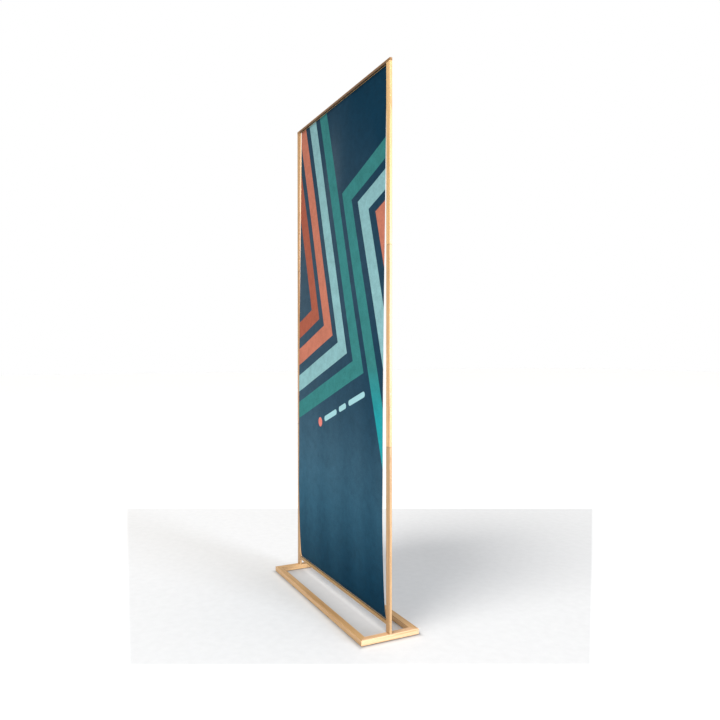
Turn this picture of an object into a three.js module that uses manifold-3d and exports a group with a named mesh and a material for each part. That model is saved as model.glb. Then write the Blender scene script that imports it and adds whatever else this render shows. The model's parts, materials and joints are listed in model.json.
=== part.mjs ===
// A knock-down wooden banner stand: an open floor frame, two slender sectioned posts,
// a rail between the posts near the floor, a rail across their tops and a printed
// fabric banner that hangs between the rails. Millimetres, +Z up, X across the banner,
// -Y towards the printed face, origin on the floor under the middle of the base.

import * as THREE from 'three';
import { mergeVertices } from 'three/addons/utils/BufferGeometryUtils.js';
import Module from 'manifold-3d';

const wasm = await Module();
wasm.setup();

// Overall sizes.
const OVERALL_WIDTH = 870;
const OVERALL_HEIGHT = 2000;
const BASE_DEPTH = 226;

// Floor frame.
const BASE_BAR_WIDTH = 25;
const BASE_BAR_HEIGHT = 20;
const BASE_EDGE_RADIUS = 1.5;
const SPLINE_LENGTH = 20;
const SPLINE_WIDTH = 10;
const SPLINE_THICKNESS = 4;
const PAD_DIAMETER = 16;
const PAD_THICKNESS = 2;

// Posts.
const POST_WIDTH = 25;
const POST_DEPTH = 10;
const POST_EDGE_RADIUS = 1;
const POST_END_CHAMFER = 0.8;
const LOWER_SECTION_LENGTH = 645;
const MIDDLE_SECTION_LENGTH = 697;

// Rails.
const TOP_RAIL_HEIGHT = 10;
const RAIL_EDGE_RADIUS = 1;
const BOTTOM_RAIL_RISE = 27;
const BOTTOM_RAIL_HEIGHT = 12;
const RAIL_FRONT_WALL = 7.2;
const SLOT_WIDTH = 3.4;
const BACK_STRIP_THICKNESS = 4.8;
const SPACER_HEIGHT = 3;
const SPACER_LENGTH = 20;
const SPACER_COUNT = 5;
const SPACER_END_MARGIN = 30;
const TONGUE_THICKNESS = 3;
const TONGUE_HEIGHT = 7;
const TONGUE_DEPTH = 12;

// Banner and what holds it.
const BANNER_SIDE_GAP = 10;
const BANNER_THICKNESS = 0.8;
const BANNER_BOW = 17.5;
const BANNER_BOW_SKEW = 0.6;
const BANNER_STEPS = 28;
const CLOTH_GAP = 0.3;
const HEM_BAR_HEIGHT = 8;
const HEM_BAR_THICKNESS = 1.6;
const TOP_BATTEN_THICKNESS = 5;
const TOP_BATTEN_MARGIN = 2;
const SCREW_COUNT = 5;
const SCREW_END_MARGIN = 40;

// Hardware.
const PIN_DIAMETER = 5;
const PIN_ENGAGEMENT = 30;
const SLEEVE_WALL = 0.95;
const DOWEL_DIAMETER = 5;
const TOP_DOWEL_IN_POST = 16;
const TOP_DOWEL_IN_RAIL = 6.5;
const FOOT_DOWEL_ENGAGEMENT = 10;
const FOOT_DOWEL_OFFSET = 6;
const FOOT_BOLT_OFFSET = -5.5;
const BOLT_DIAMETER = 5;
const BOLT_HEAD_DIAMETER = 9;
const BOLT_HEAD_HEIGHT = 4;
const BOLT_HEAD_RECESS = 6;
const BOLT_SHANK_LENGTH = 33;
const BOLT_SOCKET_ACROSS = 3;
const BOLT_SOCKET_DEPTH = 2.2;
const INSERT_WALL = 0.95;
const INSERT_LENGTH = 13;
const SCREW_DIAMETER = 3;
const SCREW_HEAD_DIAMETER = 6;
const SCREW_HEAD_HEIGHT = 1.8;
const SCREW_LENGTH = 10.6;
const SCREW_RECESS_SPAN = 3.2;
const SCREW_RECESS_WIDTH = 0.8;
const SCREW_RECESS_DEPTH = 1;

// Fits and facets.
const RUNNING_CLEARANCE = 0.05;
const END_CLEARANCE = 0.5;
const GLUE_GAP = 0.1;
const ROUND_SEGMENTS = 24;
const EDGE_SEGMENTS = 3;

// Heights and places that follow from the sizes above.
const BASE_TOP = PAD_THICKNESS + BASE_BAR_HEIGHT;
const LOWER_JOINT = BASE_TOP + LOWER_SECTION_LENGTH;
const UPPER_JOINT = LOWER_JOINT + MIDDLE_SECTION_LENGTH;
const POST_TOP = OVERALL_HEIGHT - TOP_RAIL_HEIGHT;
const POST_X = (OVERALL_WIDTH - POST_WIDTH) / 2;
const POST_INNER_X = OVERALL_WIDTH / 2 - POST_WIDTH;
const BOTTOM_RAIL_BASE = BASE_TOP + BOTTOM_RAIL_RISE;
const BOTTOM_RAIL_TOP = BOTTOM_RAIL_BASE + BOTTOM_RAIL_HEIGHT;
const SLOT_FLOOR = BOTTOM_RAIL_BASE + SPACER_HEIGHT;
const FRONT_FACE = -POST_DEPTH / 2;
const SLOT_FRONT = FRONT_FACE + RAIL_FRONT_WALL;
const SLOT_BACK = SLOT_FRONT + SLOT_WIDTH;
const BANNER_FRONT = SLOT_FRONT + CLOTH_GAP;
const BANNER_BACK = BANNER_FRONT + BANNER_THICKNESS;
const BANNER_WIDTH = 2 * (POST_INNER_X - BANNER_SIDE_GAP);
const BANNER_BOTTOM = SLOT_FLOOR + CLOTH_GAP;
const BATTEN_FRONT = BANNER_BACK + CLOTH_GAP;
const SCREW_HEIGHT = POST_TOP + TOP_RAIL_HEIGHT / 2;

const SIDES = [
  { name: 'left', sign: -1 },
  { name: 'right', sign: 1 },
];

function material(color, roughness, metalness = 0) {
  return new THREE.MeshStandardMaterial({ color, roughness, metalness });
}

const woods = {
  base: material(0xdcae78, 0.55),
  post: material(0xdfb27c, 0.55),
  rail: material(0xc99a62, 0.55),
  hidden: material(0xcfa26c, 0.7),
};
const steel = material(0xb9bcc0, 0.35, 1);
const brass = material(0xc2a04f, 0.35, 1);
const padRubber = material(0x2b2b2b, 0.9);
const bannerCloth = material(0x1f4a60, 0.85);

// Geometry helpers.

function toSolid(geometry) {
  const bare = geometry.clone();
  bare.deleteAttribute('normal');
  bare.deleteAttribute('uv');
  const merged = mergeVertices(bare, 1e-4);
  const mesh = new wasm.Mesh({
    numProp: 3,
    vertProperties: new Float32Array(merged.attributes.position.array),
    triVerts: new Uint32Array(merged.index.array),
  });
  return new wasm.Manifold(mesh);
}

function toGeometry(solid) {
  const mesh = solid.getMesh();
  const geometry = new THREE.BufferGeometry();
  geometry.setAttribute('position', new THREE.BufferAttribute(mesh.vertProperties, 3));
  geometry.setIndex(new THREE.BufferAttribute(mesh.triVerts, 1));
  geometry.computeVertexNormals();
  return geometry;
}

function cut(geometry, cutters) {
  let solid = toSolid(geometry);
  for (const cutter of cutters) {
    solid = solid.subtract(toSolid(cutter));
  }
  return toGeometry(solid);
}

function common(first, second) {
  return toGeometry(toSolid(first).intersect(toSolid(second)));
}

function box(sizeX, sizeY, sizeZ, x, y, z) {
  return new THREE.BoxGeometry(sizeX, sizeY, sizeZ).translate(x, y, z);
}

// A box given by its lowest and highest corners.
function span(low, high) {
  const size = high.map((value, axis) => value - low[axis]);
  const middle = high.map((value, axis) => (value + low[axis]) / 2);
  return box(...size, ...middle);
}

// A rectangle with rounded corners, centred on the origin.
function roundedRectangle(width, height, radius) {
  const x = width / 2;
  const y = height / 2;
  const shape = new THREE.Shape();
  shape.moveTo(-x + radius, -y);
  shape.lineTo(x - radius, -y);
  shape.absarc(x - radius, -y + radius, radius, -Math.PI / 2, 0);
  shape.lineTo(x, y - radius);
  shape.absarc(x - radius, y - radius, radius, 0, Math.PI / 2);
  shape.lineTo(-x + radius, y);
  shape.absarc(-x + radius, y - radius, radius, Math.PI / 2, Math.PI);
  shape.lineTo(-x, -y + radius);
  shape.absarc(-x + radius, -y + radius, radius, Math.PI, 1.5 * Math.PI);
  return shape;
}

// A shape drawn in XY and pushed up from z = low to z = high.
function extrude(shape, low, high) {
  const options = { depth: high - low, bevelEnabled: false, curveSegments: EDGE_SEGMENTS };
  return new THREE.ExtrudeGeometry(shape, options).translate(0, 0, low);
}

// A shape drawn in YZ and pushed along X, centred on x = 0.
function extrudeAlongX(shape, length) {
  return extrude(shape, -length / 2, length / 2).rotateZ(Math.PI / 2).rotateY(Math.PI / 2);
}

// A turned piece on the Z axis from [radius, z] points that start and end on the axis.
function turned(points, segments = ROUND_SEGMENTS) {
  const profile = points.map(([radius, z]) => new THREE.Vector2(radius, z));
  return new THREE.LatheGeometry(profile, segments).rotateX(Math.PI / 2);
}

function rod(diameter, low, high) {
  const radius = diameter / 2;
  return turned([[0, low], [radius, low], [radius, high], [0, high]]);
}

function tube(outer, inner, low, high) {
  const ring = [[inner / 2, low], [outer / 2, low], [outer / 2, high], [inner / 2, high]];
  return turned([...ring, ring[0]]);
}

function hole(diameter, low, high) {
  return rod(diameter + 2 * RUNNING_CLEARANCE, low, high);
}

function spread(count, half) {
  return Array.from({ length: count }, (_, index) => -half + (2 * half * index) / (count - 1));
}

// Floor frame: four bars, mitred at the corners and held by loose splines.

const baseMiddle = PAD_THICKNESS + BASE_BAR_HEIGHT / 2;
const cornerX = (OVERALL_WIDTH - BASE_BAR_WIDTH) / 2;
const cornerY = (BASE_DEPTH - BASE_BAR_WIDTH) / 2;

function cornerSpline(signX, signY, growth = 0) {
  const size = [SPLINE_LENGTH + growth, SPLINE_WIDTH + growth, SPLINE_THICKNESS + growth];
  const angle = (-signX * signY * Math.PI) / 4;
  return box(...size, 0, 0, 0).rotateZ(angle).translate(signX * cornerX, signY * cornerY, baseMiddle);
}

const CORNERS = [
  { name: 'front_left', x: -1, y: -1 },
  { name: 'front_right', x: 1, y: -1 },
  { name: 'back_left', x: -1, y: 1 },
  { name: 'back_right', x: 1, y: 1 },
];

// A long bar of the frame, with the mitres at its ends, on the front or the back.
function longBaseBar(signY) {
  const outer = BASE_DEPTH / 2;
  const inner = outer - BASE_BAR_WIDTH;
  const outline = new THREE.Shape();
  outline.moveTo(-OVERALL_WIDTH / 2, signY * outer);
  outline.lineTo(OVERALL_WIDTH / 2, signY * outer);
  outline.lineTo(OVERALL_WIDTH / 2 - BASE_BAR_WIDTH, signY * inner);
  outline.lineTo(-OVERALL_WIDTH / 2 + BASE_BAR_WIDTH, signY * inner);
  const section = roundedRectangle(BASE_BAR_WIDTH, BASE_BAR_HEIGHT, BASE_EDGE_RADIUS);
  const bar = extrudeAlongX(section, OVERALL_WIDTH).translate(0, signY * cornerY, baseMiddle);
  return common(bar, extrude(outline, 0, BASE_TOP));
}

// A short bar of the frame, with its mitres and the foot holes under the post.
function endBaseBar(sign) {
  const outer = OVERALL_WIDTH / 2;
  const inner = outer - BASE_BAR_WIDTH;
  const outline = new THREE.Shape();
  outline.moveTo(sign * outer, -BASE_DEPTH / 2);
  outline.lineTo(sign * outer, BASE_DEPTH / 2);
  outline.lineTo(sign * inner, BASE_DEPTH / 2 - BASE_BAR_WIDTH);
  outline.lineTo(sign * inner, -BASE_DEPTH / 2 + BASE_BAR_WIDTH);
  const section = roundedRectangle(BASE_BAR_WIDTH, BASE_BAR_HEIGHT, BASE_EDGE_RADIUS);
  const bar = extrudeAlongX(section, BASE_DEPTH).rotateZ(Math.PI / 2);
  const mitred = common(bar.translate(sign * cornerX, 0, baseMiddle), extrude(outline, 0, BASE_TOP));
  const bolt = boltX(sign);
  const cutters = [
    hole(BOLT_HEAD_DIAMETER + 1, 0, PAD_THICKNESS + BOLT_HEAD_RECESS).translate(bolt, 0, 0),
    hole(BOLT_DIAMETER, 0, BASE_TOP + 1).translate(bolt, 0, 0),
    hole(DOWEL_DIAMETER, BASE_TOP - FOOT_DOWEL_ENGAGEMENT - END_CLEARANCE, BASE_TOP + 1)
      .translate(footDowelX(sign), 0, 0),
  ];
  return cut(mitred, cutters);
}

function withSplinePockets(bar) {
  return cut(bar, CORNERS.map(({ x, y }) => cornerSpline(x, y, 2 * GLUE_GAP)));
}

function footPad(signX, signY) {
  return rod(PAD_DIAMETER, 0, PAD_THICKNESS).translate(signX * cornerX, signY * cornerY, 0);
}

// Foot hardware: a bolt from below into a threaded insert, and a dowel beside it.

function boltX(sign) {
  return sign * (POST_X + FOOT_BOLT_OFFSET);
}

function footDowelX(sign) {
  return sign * (POST_X + FOOT_DOWEL_OFFSET);
}

const boltSeat = PAD_THICKNESS + BOLT_HEAD_RECESS;

function footBolt(sign) {
  const head = BOLT_HEAD_DIAMETER / 2;
  const shank = BOLT_DIAMETER / 2;
  const bottom = boltSeat - BOLT_HEAD_HEIGHT;
  const top = boltSeat + BOLT_SHANK_LENGTH;
  const body = turned([
    [0, bottom], [head - 0.6, bottom], [head, bottom + 0.6], [head, boltSeat],
    [shank, boltSeat], [shank, top - 0.8], [shank - 0.8, top], [0, top],
  ]);
  const socketRadius = BOLT_SOCKET_ACROSS / Math.sqrt(3);
  const socketTop = bottom + BOLT_SOCKET_DEPTH;
  const socket = turned([[0, bottom - 1], [socketRadius, bottom - 1], [socketRadius, socketTop], [0, socketTop]], 6);
  return cut(body, [socket]).translate(boltX(sign), 0, 0);
}

const insertDiameter = BOLT_DIAMETER + 2 * RUNNING_CLEARANCE + 2 * INSERT_WALL;

function footInsert(sign) {
  const low = BASE_TOP + CLOTH_GAP;
  return tube(insertDiameter, BOLT_DIAMETER + 2 * RUNNING_CLEARANCE, low, low + INSERT_LENGTH)
    .translate(boltX(sign), 0, 0);
}

function footDowel(sign) {
  return rod(DOWEL_DIAMETER, BASE_TOP - FOOT_DOWEL_ENGAGEMENT, BASE_TOP + FOOT_DOWEL_ENGAGEMENT)
    .translate(footDowelX(sign), 0, 0);
}

// Posts: three sections each, joined by a steel pin that slides into a brass sleeve.

const sleeveBore = PIN_DIAMETER + 2 * RUNNING_CLEARANCE;
const sleeveDiameter = sleeveBore + 2 * SLEEVE_WALL;

// A post section before it is drilled. Its chamfered ends make a fine groove at each joint.
function postBlank(low, high) {
  const options = {
    depth: high - low - 2 * POST_END_CHAMFER,
    curveSegments: EDGE_SEGMENTS,
    bevelSegments: 1,
    bevelThickness: POST_END_CHAMFER,
    bevelSize: POST_END_CHAMFER,
    bevelOffset: -POST_END_CHAMFER,
  };
  const section = roundedRectangle(POST_WIDTH, POST_DEPTH, POST_EDGE_RADIUS);
  return new THREE.ExtrudeGeometry(section, options).translate(0, 0, low + POST_END_CHAMFER);
}

function pinHole(joint) {
  return hole(PIN_DIAMETER, joint - PIN_ENGAGEMENT - END_CLEARANCE, joint + 1);
}

function sleeveHole(joint) {
  return hole(sleeveDiameter, joint - 1, joint + PIN_ENGAGEMENT + 3 * END_CLEARANCE);
}

function lowerSection(sign) {
  const tongueX = sign * (-POST_WIDTH / 2 + TONGUE_DEPTH / 2 - 0.5);
  const tongueSize = [TONGUE_DEPTH + 1 + 2 * END_CLEARANCE, TONGUE_THICKNESS + 2 * GLUE_GAP];
  const bolt = sign * FOOT_BOLT_OFFSET;
  const boltEnd = boltSeat + BOLT_SHANK_LENGTH + END_CLEARANCE;
  const cutters = [
    hole(insertDiameter, BASE_TOP - 1, BASE_TOP + CLOTH_GAP + INSERT_LENGTH + END_CLEARANCE)
      .translate(bolt, 0, 0),
    hole(BOLT_DIAMETER, BASE_TOP - 1, boltEnd).translate(bolt, 0, 0),
    hole(DOWEL_DIAMETER, BASE_TOP - 1, BASE_TOP + FOOT_DOWEL_ENGAGEMENT + END_CLEARANCE)
      .translate(sign * FOOT_DOWEL_OFFSET, 0, 0),
    box(...tongueSize, TONGUE_HEIGHT + 2 * GLUE_GAP, tongueX, tongueY, bottomRailMiddle),
    pinHole(LOWER_JOINT),
  ];
  return cut(postBlank(BASE_TOP, LOWER_JOINT), cutters).translate(sign * POST_X, 0, 0);
}

function middleSection(sign) {
  const blank = postBlank(LOWER_JOINT, UPPER_JOINT);
  return cut(blank, [sleeveHole(LOWER_JOINT), pinHole(UPPER_JOINT)]).translate(sign * POST_X, 0, 0);
}

function upperSection(sign) {
  const dowelHole = hole(DOWEL_DIAMETER, POST_TOP - TOP_DOWEL_IN_POST - END_CLEARANCE, POST_TOP + 1);
  const blank = postBlank(UPPER_JOINT, POST_TOP);
  return cut(blank, [sleeveHole(UPPER_JOINT), dowelHole]).translate(sign * POST_X, 0, 0);
}

function jointPin(sign, joint) {
  const radius = PIN_DIAMETER / 2;
  const low = joint - PIN_ENGAGEMENT;
  const high = joint + PIN_ENGAGEMENT;
  const nose = 1;
  return turned([
    [0, low], [radius, low], [radius, high - nose], [radius - nose, high], [0, high],
  ]).translate(sign * POST_X, 0, 0);
}

function jointSleeve(sign, joint) {
  return tube(sleeveDiameter, sleeveBore, joint + CLOTH_GAP, joint + PIN_ENGAGEMENT + 2 * END_CLEARANCE)
    .translate(sign * POST_X, 0, 0);
}

// Bottom rail: a front bar tongued into the posts, and a back strip held off it by spacers,
// which leave a slot that is open at the top for the weighted hem of the banner.

const bottomRailMiddle = BOTTOM_RAIL_BASE + BOTTOM_RAIL_HEIGHT / 2;
const bottomRailLength = 2 * POST_INNER_X;
const tongueY = FRONT_FACE + RAIL_FRONT_WALL / 2;

function roundedBar(length, depth, height, radius, y, z) {
  return extrudeAlongX(roundedRectangle(depth, height, radius), length).translate(0, y, z);
}

function railTongue(sign, growth = 0) {
  const length = 2 * TONGUE_DEPTH + 10 * growth;
  return box(length, TONGUE_THICKNESS + 2 * growth, TONGUE_HEIGHT + 2 * growth,
    sign * POST_INNER_X, tongueY, bottomRailMiddle);
}

function bottomRail() {
  const bar = roundedBar(bottomRailLength, RAIL_FRONT_WALL, BOTTOM_RAIL_HEIGHT, RAIL_EDGE_RADIUS,
    tongueY, bottomRailMiddle);
  return cut(bar, [railTongue(-1, GLUE_GAP), railTongue(1, GLUE_GAP)]);
}

function bottomRailBackStrip() {
  return roundedBar(bottomRailLength, BACK_STRIP_THICKNESS, BOTTOM_RAIL_HEIGHT, RAIL_EDGE_RADIUS,
    SLOT_BACK + BACK_STRIP_THICKNESS / 2, bottomRailMiddle);
}

const spacerPlaces = spread(SPACER_COUNT, bottomRailLength / 2 - SPACER_END_MARGIN);

// A spacer stands clear of the rails' rounded lower edges.
function slotSpacer(x) {
  return span([x - SPACER_LENGTH / 2, SLOT_FRONT, BOTTOM_RAIL_BASE + RAIL_EDGE_RADIUS],
    [x + SPACER_LENGTH / 2, SLOT_BACK, SLOT_FLOOR]);
}

// Top rail: lies across the posts, with a rebate in its back for the banner and its batten.

const battenLength = BANNER_WIDTH + 2 * TOP_BATTEN_MARGIN;
const battenBack = BATTEN_FRONT + TOP_BATTEN_THICKNESS;
const screwPlaces = spread(SCREW_COUNT, BANNER_WIDTH / 2 - SCREW_END_MARGIN);

function topRail() {
  const bar = roundedBar(OVERALL_WIDTH, POST_DEPTH, TOP_RAIL_HEIGHT, RAIL_EDGE_RADIUS, 0, SCREW_HEIGHT);
  const rebateHalf = battenLength / 2 + CLOTH_GAP;
  const rebate = span([-rebateHalf, SLOT_FRONT, POST_TOP - 1],
    [rebateHalf, POST_DEPTH, OVERALL_HEIGHT + 1]);
  const dowelHoles = SIDES.map(({ sign }) => (
    hole(DOWEL_DIAMETER, POST_TOP - 1, POST_TOP + TOP_DOWEL_IN_RAIL + END_CLEARANCE)
      .translate(sign * POST_X, 0, 0)));
  const screwHoles = screwPlaces.map((x) => (
    alongY(hole(SCREW_DIAMETER, -END_CLEARANCE, SCREW_LENGTH), x)));
  return cut(bar, [rebate, ...dowelHoles, ...screwHoles]);
}

function topDowel(sign) {
  return rod(DOWEL_DIAMETER, POST_TOP - TOP_DOWEL_IN_POST, POST_TOP + TOP_DOWEL_IN_RAIL)
    .translate(sign * POST_X, 0, 0);
}

// Turns a piece made along +Z, tip at the origin, so that its head faces +Y at the batten's back.
function alongY(geometry, x) {
  return geometry.rotateX(-Math.PI / 2).translate(x, battenBack - SCREW_LENGTH, SCREW_HEIGHT);
}

function clampScrew(x) {
  const shank = SCREW_DIAMETER / 2;
  const head = SCREW_HEAD_DIAMETER / 2;
  const body = turned([
    [0, 0], [shank, 2], [shank, SCREW_LENGTH - SCREW_HEAD_HEIGHT], [head, SCREW_LENGTH - 0.3],
    [head, SCREW_LENGTH], [0, SCREW_LENGTH],
  ]);
  const recess = [SCREW_RECESS_SPAN, SCREW_RECESS_WIDTH, 2 * SCREW_RECESS_DEPTH];
  const cross = [
    box(...recess, 0, 0, SCREW_LENGTH),
    box(...recess, 0, 0, SCREW_LENGTH).rotateZ(Math.PI / 2),
  ];
  return alongY(cut(body, cross), x);
}

// The clearance hole and countersink that a clamp screw passes through in the batten.
function countersink(x) {
  const shank = SCREW_DIAMETER / 2 + 2 * RUNNING_CLEARANCE;
  const head = SCREW_HEAD_DIAMETER / 2 + 2 * RUNNING_CLEARANCE;
  const neck = SCREW_LENGTH - SCREW_HEAD_HEIGHT - 2 * RUNNING_CLEARANCE;
  const rim = SCREW_LENGTH - 0.3 - 2 * RUNNING_CLEARANCE;
  const end = SCREW_LENGTH + 1;
  return alongY(turned([[0, -1], [shank, -1], [shank, neck], [head, rim], [head, end], [0, end]]), x);
}

function topBatten() {
  const bar = roundedBar(battenLength, TOP_BATTEN_THICKNESS, TOP_RAIL_HEIGHT, RAIL_EDGE_RADIUS,
    BATTEN_FRONT + TOP_BATTEN_THICKNESS / 2, SCREW_HEIGHT);
  return cut(bar, screwPlaces.map(countersink));
}

// Banner: a sheet that bows towards its printed face, most of all low down.

function bannerBow(z) {
  const free = (z - BOTTOM_RAIL_TOP) / (POST_TOP - BOTTOM_RAIL_TOP);
  const held = Math.min(Math.max(free, 0), 1);
  return BANNER_BOW * Math.sin(Math.PI * held ** BANNER_BOW_SKEW);
}

function bannerSheet() {
  const heights = [BANNER_BOTTOM];
  for (let step = 0; step <= BANNER_STEPS; step += 1) {
    const share = (step / BANNER_STEPS) ** 1.5;
    heights.push(BOTTOM_RAIL_TOP + share * (POST_TOP - BOTTOM_RAIL_TOP));
  }
  heights.push(OVERALL_HEIGHT);
  const front = heights.map((z) => [BANNER_FRONT - bannerBow(z), z]);
  const back = heights.map((z) => [BANNER_BACK - bannerBow(z), z]).reverse();
  const outline = [...front, ...back].map(([y, z]) => new THREE.Vector2(y, z));
  const sheet = extrudeAlongX(new THREE.Shape(outline), BANNER_WIDTH);
  const screwHoles = screwPlaces.map((x) => (
    alongY(rod(SCREW_DIAMETER + 0.8, -END_CLEARANCE, SCREW_LENGTH), x)));
  return cut(sheet, screwHoles);
}

function hemBar() {
  const low = BATTEN_FRONT;
  return span([-BANNER_WIDTH / 2, low, BANNER_BOTTOM],
    [BANNER_WIDTH / 2, low + HEM_BAR_THICKNESS, BANNER_BOTTOM + HEM_BAR_HEIGHT]);
}

// Assembly.

const stand = new THREE.Group();

function add(name, geometry, finish) {
  const mesh = new THREE.Mesh(geometry, finish);
  mesh.name = name;
  stand.add(mesh);
}

function addBase() {
  add('base_front_bar', withSplinePockets(longBaseBar(-1)), woods.base);
  add('base_back_bar', withSplinePockets(longBaseBar(1)), woods.base);
  for (const { name, sign } of SIDES) {
    add(`base_${name}_bar`, withSplinePockets(endBaseBar(sign)), woods.base);
  }
  for (const { name, x, y } of CORNERS) {
    add(`${name}_corner_spline`, cornerSpline(x, y), woods.hidden);
    add(`${name}_foot_pad`, footPad(x, y), padRubber);
  }
  for (const { name, sign } of SIDES) {
    add(`${name}_foot_bolt`, footBolt(sign), steel);
    add(`${name}_foot_insert`, footInsert(sign), brass);
    add(`${name}_foot_dowel`, footDowel(sign), woods.hidden);
  }
}

function addPost({ name, sign }) {
  add(`${name}_post_lower`, lowerSection(sign), woods.post);
  add(`${name}_post_middle`, middleSection(sign), woods.post);
  add(`${name}_post_upper`, upperSection(sign), woods.post);
  add(`${name}_lower_joint_pin`, jointPin(sign, LOWER_JOINT), steel);
  add(`${name}_upper_joint_pin`, jointPin(sign, UPPER_JOINT), steel);
  add(`${name}_lower_joint_sleeve`, jointSleeve(sign, LOWER_JOINT), brass);
  add(`${name}_upper_joint_sleeve`, jointSleeve(sign, UPPER_JOINT), brass);
  add(`${name}_top_dowel`, topDowel(sign), woods.hidden);
}

function addBottomRail() {
  add('bottom_rail', bottomRail(), woods.rail);
  add('bottom_rail_back_strip', bottomRailBackStrip(), woods.rail);
  spacerPlaces.forEach((x, index) => add(`slot_spacer_${index + 1}`, slotSpacer(x), woods.hidden));
  for (const { name, sign } of SIDES) {
    add(`${name}_rail_tongue`, railTongue(sign), woods.hidden);
  }
}

function addBannerAndTopRail() {
  add('top_rail', topRail(), woods.rail);
  add('top_batten', topBatten(), woods.rail);
  screwPlaces.forEach((x, index) => add(`batten_screw_${index + 1}`, clampScrew(x), steel));
  add('banner', bannerSheet(), bannerCloth);
  add('hem_bar', hemBar(), steel);
}

addBase();
SIDES.forEach(addPost);
addBottomRail();
addBannerAndTopRail();

export default stand;
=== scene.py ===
"""Looks for a knock-down wooden banner stand: wood, hardware, a printed fabric banner, floor and light.

Everything is in metres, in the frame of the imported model: +Z up, +X across the banner, -Y towards
the printed face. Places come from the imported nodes' boxes.
"""
import json
import math
import random

import bmesh
import bpy
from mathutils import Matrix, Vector

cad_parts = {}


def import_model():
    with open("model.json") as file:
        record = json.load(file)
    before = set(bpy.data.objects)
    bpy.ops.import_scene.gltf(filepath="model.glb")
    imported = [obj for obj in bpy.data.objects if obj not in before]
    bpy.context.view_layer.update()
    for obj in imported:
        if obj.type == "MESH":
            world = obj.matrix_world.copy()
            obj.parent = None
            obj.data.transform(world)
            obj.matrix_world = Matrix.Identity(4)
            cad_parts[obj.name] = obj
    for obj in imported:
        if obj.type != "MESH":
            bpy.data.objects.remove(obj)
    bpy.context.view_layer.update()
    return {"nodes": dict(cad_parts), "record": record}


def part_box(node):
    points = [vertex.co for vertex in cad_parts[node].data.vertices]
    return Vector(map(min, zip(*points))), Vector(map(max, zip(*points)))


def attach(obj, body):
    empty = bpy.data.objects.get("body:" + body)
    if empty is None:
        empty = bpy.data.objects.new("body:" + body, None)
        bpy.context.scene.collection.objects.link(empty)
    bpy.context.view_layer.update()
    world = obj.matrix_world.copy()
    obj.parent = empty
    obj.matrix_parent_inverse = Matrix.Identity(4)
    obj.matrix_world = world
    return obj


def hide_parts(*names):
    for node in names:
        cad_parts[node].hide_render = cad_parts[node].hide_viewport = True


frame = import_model()

MM = 0.001

# Camera: where it stands from the middle of the base, and which way it looks, in degrees.
CAMERA_PLACE = (2.427, -1.110, 0.995)
CAMERA_AZIMUTH = 63.53
CAMERA_PITCH = -0.69
LENS_MM = 33.24
SENSOR_MM = 36.0

SIDES = ("left", "right")
SECTIONS = ("lower", "middle", "upper")


# Small helpers

def srgb(red, green, blue):
    """A colour given as 0-255 screen values, as linear RGBA."""
    def linear(value):
        value /= 255
        return value / 12.92 if value <= 0.04045 else ((value + 0.055) / 1.055) ** 2.4
    return (linear(red), linear(green), linear(blue), 1.0)


def tinted(colour, parts):
    """The colour with its red, green and blue each scaled."""
    return tuple(min(value * part, 1.0) for value, part in zip(colour[:3], parts)) + (1.0,)


def toned(colour, factor):
    """The colour made darker or lighter."""
    return tinted(colour, (factor, factor, factor))


def low(node):
    return Vector(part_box(node)[0])


def high(node):
    return Vector(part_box(node)[1])


def new_object(name, mesh):
    piece = bpy.data.objects.new(name, mesh)
    bpy.context.scene.collection.objects.link(piece)
    return piece


def finished(bm, name, smooth=True):
    mesh = bpy.data.meshes.new(name)
    bm.normal_update()
    bm.to_mesh(mesh)
    bm.free()
    for polygon in mesh.polygons:
        polygon.use_smooth = smooth
    return new_object(name, mesh)


def apply_modifiers(piece):
    """Keep what the modifiers make as the piece's own mesh."""
    graph = bpy.context.evaluated_depsgraph_get()
    mesh = bpy.data.meshes.new_from_object(piece.evaluated_get(graph))
    piece.modifiers.clear()
    piece.data = mesh


# Node materials

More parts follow.
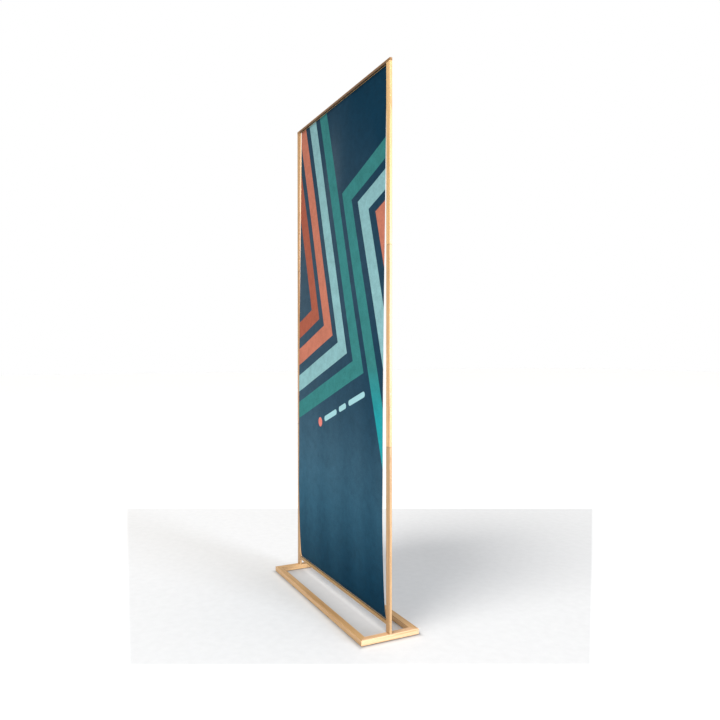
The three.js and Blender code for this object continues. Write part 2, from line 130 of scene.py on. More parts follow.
class Nodes:
    """A short way to write a material's node tree."""

    def __init__(self, name):
        self.material = bpy.data.materials.new(name)
        self.material.use_nodes = True
        self.tree = self.material.node_tree
        self.tree.nodes.clear()
        output = self.tree.nodes.new("ShaderNodeOutputMaterial")
        self.shader = self.tree.nodes.new("ShaderNodeBsdfPrincipled")
        self.tree.links.new(self.shader.outputs[0], output.inputs[0])

    def put(self, value, socket):
        if isinstance(value, bpy.types.NodeSocket):
            self.tree.links.new(value, socket)
        else:
            socket.default_value = value

    def set(self, **values):
        for name, value in values.items():
            self.put(value, self.shader.inputs[name.replace("_", " ")])

    def place(self):
        """The point on the piece, in the frame's metres."""
        return self.tree.nodes.new("ShaderNodeTexCoord").outputs["Object"]

    def split(self, vector):
        node = self.tree.nodes.new("ShaderNodeSeparateXYZ")
        self.put(vector, node.inputs[0])
        return node.outputs

    def join(self, x, y, z):
        node = self.tree.nodes.new("ShaderNodeCombineXYZ")
        for value, socket in zip((x, y, z), node.inputs):
            self.put(value, socket)
        return node.outputs[0]

    def math(self, operation, *values, clamp=False):
        node = self.tree.nodes.new("ShaderNodeMath")
        node.operation = operation
        node.use_clamp = clamp
        for value, socket in zip(values, node.inputs):
            self.put(value, socket)
        return node.outputs[0]

    def add(self, first, *others):
        for other in others:
            first = self.math("ADD", first, other)
        return first

    def scaled(self, value, factor, offset=0.0):
        return self.math("MULTIPLY_ADD", value, factor, offset)

    def bell(self, value, middle, width):
        """A smooth hump: 1 at the middle, fading to 0 over about twice the width."""
        offset = self.scaled(value, 1 / width, -middle / width)
        return self.math("EXPONENT", self.scaled(self.math("MULTIPLY", offset, offset), -1.0))

    def noise(self, vector, scale, detail=2.0, roughness=0.5, distortion=0.0):
        node = self.tree.nodes.new("ShaderNodeTexNoise")
        self.put(vector, node.inputs["Vector"])
        node.inputs["Scale"].default_value = scale
        node.inputs["Detail"].default_value = detail
        node.inputs["Roughness"].default_value = roughness
        node.inputs["Distortion"].default_value = distortion
        return node.outputs["Fac"]

    def mix(self, factor, first, second, blend="MIX"):
        node = self.tree.nodes.new("ShaderNodeMix")
        node.data_type = "RGBA"
        node.blend_type = blend
        self.put(factor, node.inputs[0])
        self.put(first, node.inputs[6])
        self.put(second, node.inputs[7])
        return node.outputs[2]

    def shaded(self, colour, value):
        """The colour times a grey value."""
        return self.mix(1.0, colour, self.join(value, value, value), "MULTIPLY")

    def ramp(self, factor, *stops):
        """A colour ramp from (place, colour) stops."""
        node = self.tree.nodes.new("ShaderNodeValToRGB")
        self.put(factor, node.inputs[0])
        elements = node.color_ramp.elements
        while len(elements) < len(stops):
            elements.new(0.5)
        for element, (position, colour) in zip(elements, stops):
            element.position = position
            element.color = colour
        return node.outputs[0]

    def bump(self, height, distance, strength=1.0):
        node = self.tree.nodes.new("ShaderNodeBump")
        node.inputs["Strength"].default_value = strength
        node.inputs["Distance"].default_value = distance
        self.put(height, node.inputs["Height"])
        return node.outputs[0]


# Wood

RING_SPACING = 2.6 * MM
RING_WANDER = 9.0 * MM
FLECK_LENGTH = 0.12
GRAIN_STRETCH = 0.03
END_SOAK = 1.7 * MM
# Painted shade for the rails' cloth slots, and how it fades past the slot's ends.
SLOT_SHADE = srgb(70, 46, 20)
SLOT_SHADE_END_FADE = 4 * MM


def soaked_ends(nodes, colour, length, ends):
    """End grain drinks the lacquer, so a section turns darker right at its ends."""
    start, end = ends
    to_start = nodes.math("SUBTRACT", length, start)
    to_end = nodes.math("SUBTRACT", end, length)
    nearest = nodes.math("MINIMUM", to_start, to_end)
    clear = nodes.math("DIVIDE", nearest, END_SOAK, clamp=True)
    return nodes.shaded(colour, nodes.scaled(clear, 0.5, 0.5))


def painted_slot_shade(nodes, colour, x, y, z, slot):
    """Painted shade along the slot where the cloth comes out, fading towards the rail's front and ends."""
    slot_y, slot_z, slot_half, dark_within, clear_beyond = slot
    aside = nodes.math("SUBTRACT", y, slot_y)
    over = nodes.math("SUBTRACT", z, slot_z)
    square = nodes.add(nodes.math("MULTIPLY", aside, aside), nodes.math("MULTIPLY", over, over))
    span = 1 / (clear_beyond - dark_within)
    clear = nodes.math("MULTIPLY_ADD", nodes.math("SQRT", square), span, -dark_within * span, clamp=True)
    past_end = nodes.math("SUBTRACT", nodes.math("ABSOLUTE", x), slot_half)
    clear = nodes.math("MAXIMUM", clear, nodes.math("DIVIDE", past_end, SLOT_SHADE_END_FADE, clamp=True))
    return nodes.mix(clear, SLOT_SHADE, colour)


def wood(name, along, light, dark, seed, ends=None, slot=None):
    """Lacquered light wood, solid through the piece: growth rings, fine fibres and small ray flecks."""
    nodes = Nodes(name)
    parts = dict(zip("xyz", nodes.split(nodes.place())))
    x, y, z = parts.values()
    length = parts.pop(along)
    first, second = parts.values()
    # Ring centres lie well outside the piece, so its faces show gently curved lines.
    centre = random.Random(seed)
    slow = nodes.join(first, second, nodes.scaled(length, 0.12, 10.0 * seed))
    wander = nodes.scaled(nodes.noise(slow, 14, 3.0, 0.5), RING_WANDER / RING_SPACING)
    across = nodes.scaled(first, 1.0, centre.uniform(0.03, 0.06))
    deep = nodes.scaled(second, 1.0, centre.uniform(-0.05, 0.05))
    square = nodes.add(nodes.math("MULTIPLY", across, across), nodes.math("MULTIPLY", deep, deep))
    rings = nodes.add(nodes.scaled(nodes.math("SQRT", square), 1 / RING_SPACING), wander)
    ring = nodes.math("FRACT", rings)
    late = nodes.math("POWER", ring, 3.0)
    fibre_place = nodes.join(first, second, nodes.scaled(length, GRAIN_STRETCH, seed))
    fibres = nodes.noise(fibre_place, 900, 4.0, 0.65, 0.3)
    streaks = nodes.noise(fibre_place, 130, 3.0, 0.55, 0.6)
    fleck_place = nodes.join(first, second, nodes.scaled(length, FLECK_LENGTH, seed))
    flecks = nodes.math("GREATER_THAN", nodes.noise(fleck_place, 1700, 1.0), 0.69)
    cloud = nodes.noise(slow, 9, 2.0)
    tone = nodes.add(nodes.scaled(fibres, 0.28), nodes.scaled(streaks, 0.55), nodes.scaled(late, -0.16, 0.08))
    colour = nodes.ramp(tone, (0.30, dark), (0.52, light), (0.66, toned(light, 1.08)))
    colour = nodes.mix(nodes.scaled(flecks, 0.35), colour, toned(dark, 0.55))
    colour = nodes.shaded(colour, nodes.scaled(cloud, 0.28, 0.86))
    if ends:
        colour = soaked_ends(nodes, colour, length, ends)
    # Painted shade along a rail's slot where the cloth comes out.
    if slot:
        colour = painted_slot_shade(nodes, colour, x, y, z, slot)
    height = nodes.add(nodes.scaled(fibres, 0.5), nodes.scaled(flecks, -0.8), nodes.scaled(late, 0.3))
    nodes.set(Base_Color=colour, Roughness=nodes.scaled(fibres, 0.22, 0.34))
    nodes.set(Normal=nodes.bump(height, 0.12 * MM, 0.5), Coat_Weight=0.25, Coat_Roughness=0.22)
    return nodes.material


# Hardware

def metal(name, colour, roughness, along):
    """Machined metal with fine drawing lines along one axis and a few dull spots."""
    nodes = Nodes(name)
    parts = list(nodes.split(nodes.place()))
    index = "xyz".index(along)
    parts[index] = nodes.scaled(parts[index], 0.05)
    lines = nodes.noise(nodes.join(*parts), 3000, 2.0)
    stain = nodes.noise(nodes.place(), 90, 3.0)
    nodes.set(Base_Color=nodes.shaded(colour, nodes.scaled(stain, 0.25, 0.86)), Metallic=1.0)
    nodes.set(Roughness=nodes.add(nodes.scaled(lines, 0.2, roughness), nodes.scaled(stain, 0.08)))
    nodes.set(Normal=nodes.bump(lines, 0.03 * MM, 0.4))
    return nodes.material


def rubber(name):
    nodes = Nodes(name)
    speck = nodes.noise(nodes.place(), 900, 3.0)
    nodes.set(Base_Color=nodes.ramp(speck, (0.3, srgb(34, 33, 32)), (0.7, srgb(52, 50, 48))))
    nodes.set(Roughness=nodes.scaled(speck, 0.2, 0.7), Normal=nodes.bump(speck, 0.1 * MM))
    return nodes.material


# The print: right-angled stripes on a navy ground, turned a little from upright.
# "across" is measured along a line that climbs to the right, and "down" at right angles to it.

PRINT_TURN = math.radians(18.97)
STRIPE_WIDTH = 0.070
LEFT_FAN = {"across": 0.140, "down": -1.197, "across_step": 0.1083, "down_step": 0.1135}
RIGHT_FAN = {"across": 0.568, "down": -1.517, "across_step": 0.1135, "down_step": 0.104}
RUST = srgb(167, 92, 72)
CORAL = srgb(195, 120, 98)
PALE = srgb(138, 184, 188)
TEAL = srgb(56, 129, 128)
TEAL_BRIGHT = srgb(34, 158, 166)
LEFT_FAN_COLOURS = (RUST, CORAL, PALE, TEAL)
RIGHT_FAN_COLOURS = (TEAL, PALE, CORAL)
NAVY_DARK = srgb(9, 54, 77)
NAVY_UPPER = srgb(71, 91, 105)
NAVY_LOWER = srgb(56, 100, 123)
MARK_CORAL = srgb(226, 130, 118)
MARK_AQUA = srgb(160, 208, 214)
HEM_CREAM = srgb(180, 152, 104)
UNDYED = srgb(214, 216, 214)
REVERSE_COVER = 0.72
EDGE_BLUR = 0.0012


def inside(nodes, value, start, end):
    """1 where value lies between start and end, with a slightly soft edge."""
    middle = (start + end) / 2
    half = (end - start) / 2
    distance = nodes.math("ABSOLUTE", nodes.math("SUBTRACT", value, middle))
    return nodes.math("MULTIPLY", nodes.math("SUBTRACT", half, distance), 1 / EDGE_BLUR, clamp=True)


def above(nodes, value, start):
    return nodes.math("MULTIPLY", nodes.math("SUBTRACT", value, start), 1 / EDGE_BLUR, clamp=True)


def below(nodes, value, end):
    return nodes.math("MULTIPLY", nodes.math("SUBTRACT", end, value), 1 / EDGE_BLUR, clamp=True)


def bent_stripe(nodes, across, down, left, top, opens_left):
    """An L of two stripes that meet at a right angle, opening down-left or up-right."""
    right = left + STRIPE_WIDTH
    bottom = top + STRIPE_WIDTH
    upright = inside(nodes, across, left, right)
    level = inside(nodes, down, top, bottom)
    if opens_left:
        upright = nodes.math("MULTIPLY", upright, below(nodes, down, bottom))
        level = nodes.math("MULTIPLY", level, below(nodes, across, right))
    else:
        upright = nodes.math("MULTIPLY", upright, above(nodes, down, top))
        level = nodes.math("MULTIPLY", level, above(nodes, across, left))
    return nodes.math("MAXIMUM", upright, level)


def fan(nodes, colour, across, down, place, inks, opens_left):
    """A family of bent stripes over a colour."""
    for index, ink in enumerate(inks):
        left = place["across"] + index * place["across_step"]
        top = place["down"] + index * place["down_step"]
        colour = nodes.mix(bent_stripe(nodes, across, down, left, top, opens_left), colour, ink)
    return colour


def capsule(nodes, across, down, start, end, middle, radius):
    """A rounded bar from start to end along the across direction."""
    half = (end - start) / 2 - radius
    offset = nodes.math("ABSOLUTE", nodes.math("SUBTRACT", across, (start + end) / 2))
    beyond = nodes.math("MAXIMUM", nodes.math("SUBTRACT", offset, half), 0.0)
    lift = nodes.math("SUBTRACT", down, middle)
    distance = nodes.math("SQRT", nodes.add(
        nodes.math("MULTIPLY", beyond, beyond), nodes.math("MULTIPLY", lift, lift)))
    return nodes.math("MULTIPLY", nodes.math("SUBTRACT", radius, distance), 1 / EDGE_BLUR, clamp=True)


# A generic mark where a name would stand: a coral dot and pale dashes.
MARK_DOWN = -0.712
MARK_DOT = (0.066, 0.106)
MARK_DOT_RADIUS = 0.020
MARK_DASHES = ((0.132, 0.262), (0.285, 0.356), (0.379, 0.520))
MARK_DASH_RADIUS = 0.0115


# Lighter places on the navy ground, as (height, reach up and down, share of the light tone).
LOW_GLOW = (0.48, 0.28, 0.74)
HIGH_HAZE = (1.25, 0.60, 0.46)
GROUND_TILT = -0.62


def ground(nodes, x, z):
    """Navy, lightest low down on the left, with soft upright bands of painted shade, as of slight waves in
    the cloth, and a darker top and foot.
    """
    glows = [nodes.scaled(nodes.bell(z, height, reach), share)
             for height, reach, share in (LOW_GLOW, HIGH_HAZE)]
    lean = nodes.scaled(x, GROUND_TILT)
    patch = nodes.math("MULTIPLY", nodes.bell(x, -0.05, 0.08), nodes.bell(z, 1.72, 0.16))
    # Painted shade: soft upright bands low down, as of slight waves in the cloth.
    low_down = nodes.bell(z, 0.42, 0.36)
    waves = nodes.math("SINE", nodes.scaled(x, 29.0, 2.0))
    drift = nodes.noise(nodes.join(nodes.scaled(x, 3.0), 0.0, z), 1.6, 2.0)
    pleat_shade = nodes.math("MULTIPLY", waves, low_down)
    tone = nodes.add(*glows, lean, nodes.scaled(patch, 0.55), nodes.scaled(pleat_shade, 0.08))
    tone = nodes.math("ADD", tone, nodes.scaled(drift, 0.26, -0.13), clamp=True)
    light = nodes.mix(nodes.math("MULTIPLY_ADD", z, -1.4, 1.5, clamp=True), NAVY_UPPER, NAVY_LOWER)
    return nodes.mix(tone, NAVY_DARK, light)


def printed_colour(nodes):
    """The printed face's colour, from the place on the banner."""
    x, _, z = nodes.split(nodes.place())
    cosine = math.cos(PRINT_TURN)
    sine = math.sin(PRINT_TURN)
    across = nodes.add(nodes.scaled(x, cosine), nodes.scaled(z, sine))
    down = nodes.add(nodes.scaled(x, sine), nodes.scaled(z, -cosine))
    colour = fan(nodes, ground(nodes, x, z), across, down, LEFT_FAN, LEFT_FAN_COLOURS, True)
    teal_low = nodes.mix(nodes.math("MULTIPLY_ADD", z, -5.0, 4.75, clamp=True), TEAL, TEAL_BRIGHT)
    inks = (teal_low,) + RIGHT_FAN_COLOURS[1:]
    colour = fan(nodes, colour, across, down, RIGHT_FAN, inks, False)
    # Ink lies unevenly: cloudy patches, a fine mottle and a few darker smudges. The dimmer top is painted
    # shade.
    patches = nodes.noise(nodes.place(), 30, 5.0, 0.66)
    mottle = nodes.noise(nodes.place(), 190, 4.0, 0.7)
    smudge = nodes.math("MULTIPLY_ADD", nodes.noise(nodes.place(), 11, 6.0, 0.72, 1.0), -5.0, 3.2, clamp=True)
    painted_top_shade = nodes.math("MULTIPLY_ADD", z, -0.24, 1.30)
    mottle = nodes.scaled(mottle, 0.42)
    shade = nodes.add(nodes.scaled(patches, 0.50), mottle, nodes.scaled(smudge, 0.09, 0.43))
    shade = nodes.math("MULTIPLY", shade, nodes.math("MINIMUM", painted_top_shade, 1.0))
    colour = nodes.shaded(colour, shade)
    dot = capsule(nodes, across, down, *MARK_DOT, MARK_DOWN, MARK_DOT_RADIUS)
    colour = nodes.mix(dot, colour, MARK_CORAL)
    for start, end in MARK_DASHES:
        dash = capsule(nodes, across, down, start, end, MARK_DOWN, MARK_DASH_RADIUS)
        colour = nodes.mix(dash, colour, MARK_AQUA)
    unprinted = nodes.math("MAXIMUM", above(nodes, z, PRINT_TOP), below(nodes, z, PRINT_BOTTOM))
    return nodes.mix(unprinted, colour, HEM_CREAM)


def weave_height(nodes):
    """A plain weave: threads over and under each other."""
    x, _, z = nodes.split(nodes.place())
    pitch = 2 * math.pi / (0.9 * MM)
    warp = nodes.math("SINE", nodes.scaled(x, pitch))
    weft = nodes.math("SINE", nodes.scaled(z, pitch))
    return nodes.math("MULTIPLY", warp, weft)


def cloth_finish(nodes, colour):
    """What every side of the cloth shares: a dull weave."""
    weave = weave_height(nodes)
    nodes.set(Base_Color=nodes.shaded(colour, nodes.scaled(weave, 0.035, 1.0)))
    nodes.set(Roughness=nodes.scaled(weave, 0.05, 0.84), Specular_IOR_Level=0.06)
    nodes.set(Normal=nodes.bump(weave, 0.12 * MM, 0.35))
    return nodes.material


def printed_fabric():
    nodes = Nodes("printed_fabric")
    return cloth_finish(nodes, printed_colour(nodes))


def fabric_reverse():
    """The unprinted back, where the ink only shows through faintly."""
    nodes = Nodes("fabric_reverse")
    return cloth_finish(nodes, nodes.mix(REVERSE_COVER, printed_colour(nodes), UNDYED))


def fabric_edge():
    """The heat-cut edge and the pocket's back: undyed yarn, slightly uneven."""
    nodes = Nodes("fabric_edge")
    fray = nodes.noise(nodes.place(), 1400, 3.0)
    return cloth_finish(nodes, nodes.ramp(fray, (0.2, srgb(204, 206, 204)), (0.8, srgb(226, 226, 222))))


def thread():
    nodes = Nodes("hem_thread")
    twist = nodes.noise(nodes.place(), 2500, 1.0)
    nodes.set(Base_Color=nodes.ramp(twist, (0.3, srgb(176, 164, 140)), (0.7, srgb(220, 208, 184))))
    nodes.set(Roughness=0.6, Normal=nodes.bump(twist, 0.05 * MM))
    return nodes.material


# Banner sheet

CLOTH_THICKNESS = 0.3 * MM
CLOTH_GAP = 0.02 * MM
RAIL_TOP = high("bottom_rail").z
TOP_RAIL_UNDERSIDE = low("top_rail").z
SHEET_PLANE = (low("hem_bar").y + high("bottom_rail").y) / 2
PRINT_TOP = TOP_RAIL_UNDERSIDE - 2.0 * MM
PRINT_BOTTOM = RAIL_TOP + 2.5 * MM
BOW = 17.5 * MM
BOW_SKEW = 0.6
SHEET_COLUMNS = 80
SHEET_ROWS = 190
POCKET_TOP = RAIL_TOP + 7.5 * MM
SEAM_HEIGHT = RAIL_TOP + 5.0 * MM
HELD_BELOW = POCKET_TOP + 2 * MM


def bow(height):
    """How far the sheet stands forward of its held edges at a height."""
    free = (height - RAIL_TOP) / (TOP_RAIL_UNDERSIDE - RAIL_TOP)
    free = min(max(free, 0.0), 1.0)
    return BOW * math.sin(math.pi * free ** BOW_SKEW)


def ripple(x, height):
    """Slight upright waves that fade out at the held edges."""
    free = (height - RAIL_TOP) / (TOP_RAIL_UNDERSIDE - RAIL_TOP)
    free = min(max(free, 0.0), 1.0)
    fade = math.sin(math.pi * free) ** 0.7
    waves = 1.1 * math.sin(9.0 * x + 0.8 + 0.5 * height) + 0.6 * math.sin(19.0 * x - 1.1 * height)
    return fade * waves * MM


def pocket_path():
    """The hem pocket in section, as (Y, Z) points: down behind the hem bar, under it and up to its front."""
    behind = CLOTH_THICKNESS + CLOTH_GAP
    bar_low = low("hem_bar").z
    bar_high = high("hem_bar").z
    bar_back = high("hem_bar").y + CLOTH_GAP + CLOTH_THICKNESS / 2
    fold = 0.25 * MM
    points = [(SHEET_PLANE - bow(z) + behind, z) for z in (POCKET_TOP, SEAM_HEIGHT, RAIL_TOP + 2.5 * MM)]
    points += [(bar_back, z) for z in (bar_high, (bar_high + bar_low) / 2, bar_low + fold)]
    points += [(y, bar_low - CLOTH_THICKNESS / 2) for y in (bar_back - fold, SHEET_PLANE + fold)]
    points += [(SHEET_PLANE, z) for z in (bar_low + fold, (bar_high + bar_low) / 2)]
    return points


def sheet_path(x):
    """The whole cut in section at one place across, from the pocket's inner edge to the clamped top."""
    points = pocket_path()
    top = high("banner").z
    for row in range(SHEET_ROWS + 1):
        height = RAIL_TOP + (top - RAIL_TOP) * row / SHEET_ROWS
        points.append((SHEET_PLANE - bow(height) - ripple(x, height), height))
    return points


def path_length(points):
    return sum(math.dist(first, second) for first, second in zip(points, points[1:]))


# The hanging of the cloth: a light draught from behind presses it forward while it settles.
HANG_FRAMES = 24
DRAUGHT = (0.0, -0.1, -9.81)
MOST_MOVE = 1.5 * MM


def hang(piece, held):
    """A short cloth simulation between the two held edges, kept as the piece's shape."""
    scene = bpy.context.scene
    start = [vertex.co.copy() for vertex in piece.data.vertices]
    piece.vertex_groups.new(name="held").add(held, 1.0, "REPLACE")
    cloth = piece.modifiers.new("cloth", "CLOTH")
    cloth.settings.quality = 5
    cloth.settings.mass = 0.02
    cloth.settings.tension_stiffness = 40
    cloth.settings.compression_stiffness = 40
    cloth.settings.shear_stiffness = 15
    cloth.settings.bending_stiffness = 4
    cloth.settings.vertex_group_mass = "held"
    cloth.point_cache.frame_end = HANG_FRAMES
    scene.gravity = DRAUGHT
    for number in range(1, HANG_FRAMES + 1):
        scene.frame_set(number)
    apply_modifiers(piece)
    scene.frame_set(1)
    for vertex, place in zip(piece.data.vertices, start):
        move = vertex.co - place
        if move.length > MOST_MOVE:
            move *= MOST_MOVE / move.length
        vertex.co = place + move


def banner_sheet():
    """The cloth: one grid along the cut, hung, then thickened into printed face, reverse and edges."""
    left = low("banner").x
    right = high("banner").x
    pocket_rows = len(pocket_path())
    bm = bmesh.new()
    columns = []
    for column in range(SHEET_COLUMNS + 1):
        x = left + (right - left) * column / SHEET_COLUMNS
        columns.append([bm.verts.new((x, y, z)) for y, z in sheet_path(x)])
    for first, second in zip(columns, columns[1:]):
        for row in range(len(first) - 1):
            face = bm.faces.new((first[row], second[row], second[row + 1], first[row + 1]))
            face.material_index = 2 if row < pocket_rows else 0
    piece = finished(bm, "banner_cloth")
    held = [vertex.index for vertex in piece.data.vertices
            if vertex.co.z < HELD_BELOW or vertex.co.z > TOP_RAIL_UNDERSIDE - MM]
    hang(piece, held)
    thick = piece.modifiers.new("thickness", "SOLIDIFY")
    thick.thickness = CLOTH_THICKNESS
    thick.offset = 0.0
    thick.material_offset = 1
    thick.material_offset_rim = 2
    for material in (printed_fabric(), fabric_reverse(), fabric_edge()):
        piece.data.materials.append(material)
    apply_modifiers(piece)
    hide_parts("banner")
    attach(piece, "banner_head")
    return piece


# Seam: one row of lockstitch along the pocket, on both faces

STITCH_LENGTH = 3.2 * MM
STITCH_PITCH = 4.2 * MM
THREAD_DIAMETER = 0.4 * MM
THREAD_SIDES = 6
SEAM_INSET = 3 * MM


def stitch(bm, x, y, z):
    """One stitch: a short thread that dips into the cloth at both ends."""
    rings = []
    for share, width in ((-0.5, 0.25), (-0.36, 0.85), (0.0, 1.0), (0.36, 0.85), (0.5, 0.25)):
        ring = []
        for side in range(THREAD_SIDES):
            angle = 2 * math.pi * side / THREAD_SIDES
            radius = THREAD_DIAMETER / 2 * width
            ring.append(bm.verts.new((x + share * STITCH_LENGTH, y + radius * math.cos(angle),
                                      z + radius * math.sin(angle))))
        rings.append(ring)
    for first, second in zip(rings, rings[1:]):
        for side in range(THREAD_SIDES):
            after = (side + 1) % THREAD_SIDES
            bm.faces.new((first[side], first[after], second[after], second[side]))
    bm.faces.new(reversed(rings[0]))
    bm.faces.new(rings[-1])


def hem_seam():
    left = low("banner").x + SEAM_INSET
    right = high("banner").x - SEAM_INSET
    middle = SHEET_PLANE - bow(SEAM_HEIGHT)
    front = middle - CLOTH_THICKNESS / 2
    back = middle + CLOTH_THICKNESS * 1.5 + CLOTH_GAP
    bm = bmesh.new()
    for index in range(int((right - left) / STITCH_PITCH)):
        x = left + STITCH_PITCH * (index + 0.5)
        stitch(bm, x, front, SEAM_HEIGHT)
        stitch(bm, x, back, SEAM_HEIGHT)
    bmesh.ops.recalc_face_normals(bm, faces=bm.faces)
    piece = finished(bm, "hem_seam")
    piece.data.materials.append(thread())
    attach(piece, "banner_head")
    return piece


# Floor, backdrop, light and camera

FLOOR_HALF = 30
WHITE = (1.0, 1.0, 1.0, 1.0)
PAPER_DARK = srgb(231, 231, 231)
PAPER_LIGHT = srgb(235, 235, 235)
# The pale ground is marked off by two lines across the view, this far before and behind the stand,
# and by one on each side, which spreads away from the camera. It is painted a little darker towards the
# camera's right, as painted shade.
GROUND_NEAR = -0.555
GROUND_FAR = 1.545
GROUND_SPREAD = 0.353
GROUND_FADE = 0.015
GROUND_LEAN = -0.05
# The ground inside the base carries painted shade, deepest beside the front bar and the left bar. Right
# round the base runs a narrow painted shadow line where it meets the ground.
SHADE_EVEN = 0.27
SHADE_BESIDE = 0.20
SHADE_REACH = 0.030
SHADE_BACK = 0.035
CONTACT_DEPTH = 0.42
CONTACT_REACH = 0.011
BAR_HALF = (high("base_front_bar").y - low("base_front_bar").y) / 2
BACKDROP_RADIUS = 40
# The studio's light in every direction, and what it gains or loses along one.
WORLD_EVEN = 0.41
WORLD_LEAN = 0.30
WORLD_TOWARDS = (0.45, -0.20, 0.87)
KEY_PLACE = (0.36, -0.93, 1.48)
KEY_STRENGTH = 1.85
KEY_SPREAD = math.radians(26)
KEY_COLOUR = (1.0, 0.98, 0.95)
END_PLACE = (11.4, 4.4, 1.6)
END_TARGET = (0.4, 0, 1.0)
END_WIDTH = 3.6
END_HEIGHT = 5.0
END_POWER = 1650
END_COLOUR = (0.91, 0.98, 1.10)


def within(nodes, value, limit):
    """1 below the limit and 0 above it."""
    return nodes.math("MULTIPLY_ADD", value, -1 / GROUND_FADE, limit / GROUND_FADE, clamp=True)


def on_ground(nodes, x, y):
    """1 on the pale ground and 0 beyond its edges, and how far a place lies to the camera's right."""
    turn = math.radians(CAMERA_AZIMUTH)
    deep = nodes.add(nodes.scaled(x, -math.sin(turn)), nodes.scaled(y, math.cos(turn)))
    camera_deep = -CAMERA_PLACE[0] * math.sin(turn) + CAMERA_PLACE[1] * math.cos(turn)
    camera_wide = CAMERA_PLACE[0] * math.cos(turn) + CAMERA_PLACE[1] * math.sin(turn)
    wide = nodes.add(nodes.scaled(x, math.cos(turn), -camera_wide), nodes.scaled(y, math.sin(turn)))
    aside = nodes.math("ABSOLUTE", wide)
    spread = nodes.add(aside, nodes.scaled(deep, -GROUND_SPREAD, GROUND_SPREAD * camera_deep))
    across = nodes.math("MULTIPLY", within(nodes, deep, GROUND_FAR),
                        nodes.scaled(within(nodes, deep, GROUND_NEAR), -1.0, 1.0))
    return nodes.math("MULTIPLY", across, within(nodes, spread, 0.0)), wide


def base_shade(nodes, x, y):
    """How much of its colour the ground keeps under painted shade: less inside the base, in front of the
    banner, and in a thin painted shadow line at its foot.
    """
    front = low("base_front_bar").y + BAR_HALF
    left = low("base_left_bar").x + BAR_HALF
    aside = nodes.math("ABSOLUTE", x)
    in_base = nodes.math("MULTIPLY", nodes.math("GREATER_THAN", y, front),
                         nodes.math("LESS_THAN", aside, -left))
    before_banner = nodes.math("MULTIPLY_ADD", y, -1 / SHADE_BACK, 1.0, clamp=True)
    shaded = nodes.math("MULTIPLY", in_base, before_banner)
    beside = nodes.math("MAXIMUM", nodes.bell(y, front, SHADE_REACH), nodes.bell(x, left, SHADE_REACH * 2))
    depth = nodes.scaled(beside, SHADE_BESIDE, SHADE_EVEN)
    outside = nodes.math("MAXIMUM", nodes.scaled(aside, 1.0, -high("base_right_bar").x),
                         nodes.scaled(nodes.math("ABSOLUTE", y), 1.0, -high("base_back_bar").y))
    contact = nodes.scaled(nodes.bell(outside, 0.0, CONTACT_REACH), CONTACT_DEPTH)
    shade = nodes.math("MAXIMUM", nodes.math("MULTIPLY", shaded, depth), contact)
    return nodes.scaled(shade, -1.0, 1.0)


def floor():
    """A pale floor that turns to the backdrop's white beyond the ground's edges."""
    bm = bmesh.new()
    bmesh.ops.create_grid(bm, x_segments=8, y_segments=8, size=FLOOR_HALF)
    piece = finished(bm, "floor")
    nodes = Nodes("floor_paint")
    x, y, _ = nodes.split(nodes.place())
    speck = nodes.noise(nodes.place(), 30, 3.0)
    here, wide = on_ground(nodes, x, y)
    pale = nodes.ramp(speck, (0.3, PAPER_DARK), (0.7, PAPER_LIGHT))
    # Painted shade, a little darker towards the camera's right.
    pale = nodes.shaded(pale, nodes.scaled(wide, GROUND_LEAN, 1.0))
    # Painted shade inside the base and a painted shadow line round its foot.
    pale = nodes.shaded(pale, base_shade(nodes, x, y))
    nodes.set(Base_Color=nodes.mix(here, WHITE, pale), Roughness=0.6, Specular_IOR_Level=0.1)
    piece.data.materials.append(nodes.material)


def backdrop():
    """A white dome that only the camera sees, so the light stays as the lamps and the world give it."""
    bm = bmesh.new()
    bmesh.ops.create_icosphere(bm, subdivisions=4, radius=BACKDROP_RADIUS)
    piece = finished(bm, "backdrop")
    material = bpy.data.materials.new("backdrop_white")
    material.use_nodes = True
    tree = material.node_tree
    tree.nodes.clear()
    glow = tree.nodes.new("ShaderNodeEmission")
    output = tree.nodes.new("ShaderNodeOutputMaterial")
    tree.links.new(glow.outputs[0], output.inputs[0])
    piece.data.materials.append(material)
    for ray in ("diffuse", "glossy", "transmission", "volume_scatter", "shadow"):
        setattr(piece, "visible_" + ray, False)


def world():
    """An even white studio, brighter towards the stand's right end and overhead."""
    studio = bpy.data.worlds.new("studio")
    studio.use_nodes = True
    tree = studio.node_tree
    direction = tree.nodes.new("ShaderNodeTexCoord").outputs["Generated"]
    towards = tree.nodes.new("ShaderNodeVectorMath")
    towards.operation = "DOT_PRODUCT"
    tree.links.new(direction, towards.inputs[0])
    towards.inputs[1].default_value = WORLD_TOWARDS
    strength = tree.nodes.new("ShaderNodeMath")
    strength.operation = "MULTIPLY_ADD"
    tree.links.new(towards.outputs["Value"], strength.inputs[0])
    strength.inputs[1].default_value = WORLD_LEAN
    strength.inputs[2].default_value = WORLD_EVEN
    background = tree.nodes["Background"]
    background.inputs["Color"].default_value = (1, 1, 1, 1)
    tree.links.new(strength.outputs[0], background.inputs["Strength"])
    bpy.context.scene.world = studio


def aim(lamp, place, target):
    lamp.location = place
    lamp.rotation_euler = (Vector(target) - Vector(place)).to_track_quat("-Z", "Y").to_euler()
    bpy.context.scene.collection.objects.link(lamp)


def key_light():
    """A broad sun that throws a soft shadow behind the banner."""
    data = bpy.data.lights.new("key", "SUN")
    data.energy = KEY_STRENGTH
    data.angle = KEY_SPREAD
    data.color = KEY_COLOUR
    aim(bpy.data.objects.new("key", data), KEY_PLACE, (0, 0, 0))


def end_light():
    """A softbox far off the right end, which makes the faces there nearly white."""
    data = bpy.data.lights.new("end_light", "AREA")
    data.shape = "RECTANGLE"
    data.size = END_WIDTH
    data.size_y = END_HEIGHT
    data.energy = END_POWER
    data.color = END_COLOUR
    aim(bpy.data.objects.new("end_light", data), END_PLACE, END_TARGET)


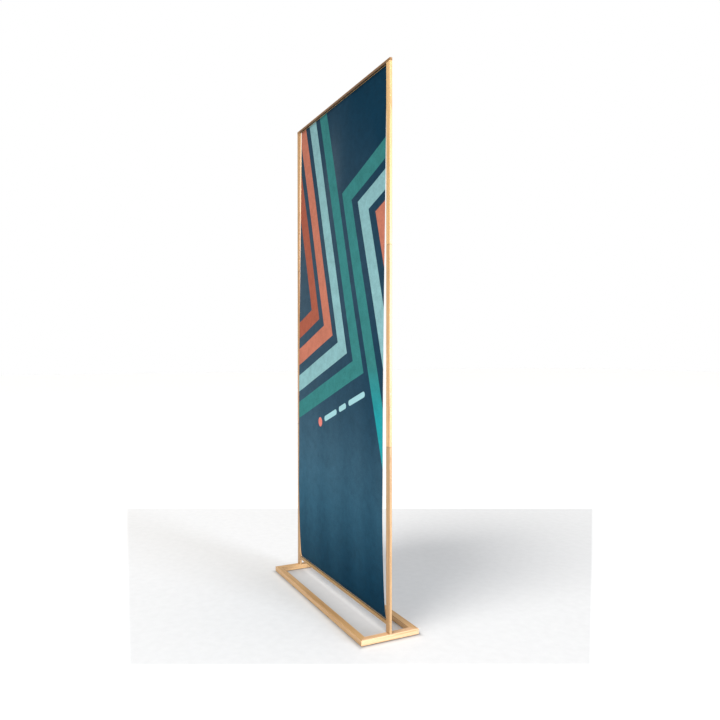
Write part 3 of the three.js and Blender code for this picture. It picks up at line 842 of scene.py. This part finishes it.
def camera():
    data = bpy.data.cameras.new("camera")
    data.sensor_width = SENSOR_MM
    data.lens = LENS_MM
    piece = bpy.data.objects.new("camera", data)
    piece.location = CAMERA_PLACE
    piece.rotation_euler = (math.radians(90 + CAMERA_PITCH), 0, math.radians(CAMERA_AZIMUTH))
    bpy.context.scene.collection.objects.link(piece)
    bpy.context.scene.camera = piece


# Materials for the CAD nodes that stay

WOOD_LIGHT = srgb(222, 178, 122)
WOOD_DARK = srgb(190, 141, 86)
RAIL_LIGHT = srgb(186, 150, 98)
RAIL_DARK = srgb(154, 116, 68)
# Each stick's red, green and blue, as shares of the wood's own. They are partly each stick's own tone; the
# right end's bar and its middle and upper post sections are also painted lighter and whiter, as painted
# light.
BASE_TONE_AND_LIGHT = {
    "front": (0.92, 0.92, 0.92),
    "back": (1.0, 1.0, 1.0),
    "left": (0.95, 0.95, 0.95),
    "right": (1.18, 1.22, 1.52),
}
POST_TONE_AND_LIGHT = {
    "left": {"lower": (0.70, 0.68, 0.66), "middle": (0.77, 0.70, 0.68), "upper": (0.80, 0.76, 0.74)},
    "right": {"lower": (0.70, 0.68, 0.66), "middle": (1.00, 1.00, 1.00), "upper": (1.12, 1.16, 1.12)},
}
TOP_RAIL_LIGHT = srgb(166, 120, 66)
TOP_RAIL_DARK = srgb(128, 88, 42)
# Each slot's painted shade: where the cloth comes out, half its length, and the reach of the dark and fading
# parts.
SLOT_HALF = high("banner").x + 4 * MM
TOP_SLOT_SHADE = (SHEET_PLANE, TOP_RAIL_UNDERSIDE, SLOT_HALF, 6.0 * MM, 13 * MM)
BOTTOM_SLOT_SHADE = (SHEET_PLANE, RAIL_TOP, SLOT_HALF, 2.0 * MM, 6.5 * MM)


def give(node, material):
    for slot in frame["nodes"][node].material_slots:
        slot.material = material


def wood_for(node, along, tone, seed, ends=None):
    """Each wooden piece is its own stick, with its own grain and tint; on the right end's bar and its middle
    and upper post sections the tint is partly painted light.
    """
    give(node, wood(node, along, tinted(WOOD_LIGHT, tone), tinted(WOOD_DARK, tone), seed, ends))


def dress_base():
    for seed, (place, tone) in enumerate(BASE_TONE_AND_LIGHT.items(), start=1):
        along = "y" if place in SIDES else "x"
        wood_for(f"base_{place}_bar", along, tone, seed)


def dress_posts():
    for number, side in enumerate(SIDES, start=1):
        for offset, section in enumerate(SECTIONS):
            node = f"{side}_post_{section}"
            ends = (low(node).z, high(node).z)
            wood_for(node, "z", POST_TONE_AND_LIGHT[side][section], 10 * number + offset, ends)


def dress_rails():
    give("top_rail", wood("top_rail", "x", TOP_RAIL_LIGHT, TOP_RAIL_DARK, 31, slot=TOP_SLOT_SHADE))
    give("top_batten", wood("top_batten", "x", TOP_RAIL_LIGHT, TOP_RAIL_DARK, 32, slot=TOP_SLOT_SHADE))
    give("bottom_rail", wood("bottom_rail", "x", RAIL_LIGHT, RAIL_DARK, 33, slot=BOTTOM_SLOT_SHADE))
    give("bottom_rail_back_strip", wood("back_strip", "x", RAIL_LIGHT, RAIL_DARK, 34, slot=BOTTOM_SLOT_SHADE))


def dress_small_parts():
    finishes = {
        "hidden_wood": wood("hidden_wood", "x", WOOD_LIGHT, WOOD_DARK, 40),
        "steel": metal("steel", srgb(190, 192, 196), 0.25, "x"),
        "brass": metal("brass", srgb(196, 160, 84), 0.28, "z"),
        "pad_rubber": rubber("pad_rubber"),
    }
    for row in frame["record"]["subparts"]:
        if row["material_slot"] in finishes:
            give(row["node"], finishes[row["material_slot"]])


camera()
floor()
backdrop()
world()
key_light()
end_light()
bpy.context.scene.view_settings.view_transform = "Standard"
dress_base()
dress_posts()
dress_rails()
dress_small_parts()
seam = hem_seam()
banner = banner_sheet()
cut_length = round(path_length(sheet_path(0.0)), 3)
